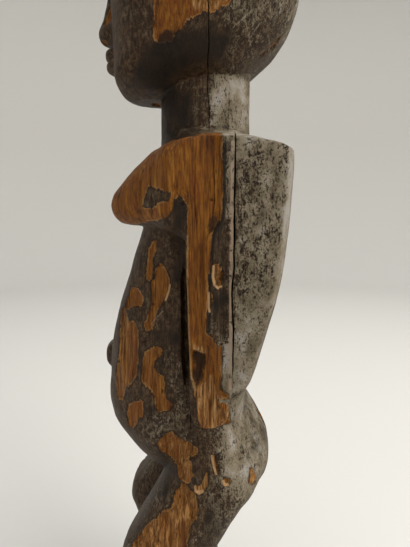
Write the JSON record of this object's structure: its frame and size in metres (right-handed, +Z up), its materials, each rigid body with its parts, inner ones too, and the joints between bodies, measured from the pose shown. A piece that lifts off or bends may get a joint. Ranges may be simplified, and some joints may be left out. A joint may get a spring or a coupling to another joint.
{
  "type": "carved wooden standing figure",
  "caption": "Standing figure carved from one block of wood, with round head, arms at its sides, swelling belly and bent legs on a low base; stands on a shelf or table.",
  "frame": {"origin": "middle of the box around the figure, on the underside of the base", "axes": "+Z up along the figure, which faces -Y with its left arm on the +X side"},
  "size_m": [0.128, 0.125, 0.48],
  "materials": {
    "aged_wood": "old carved hardwood with a dark handled patina, grey dust crust and worn or chipped places of bare brown wood, matt to low satin"
  },
  "bodies": {
    "root": {"standing_figure": "aged_wood"}
  },
  "joints": []
}
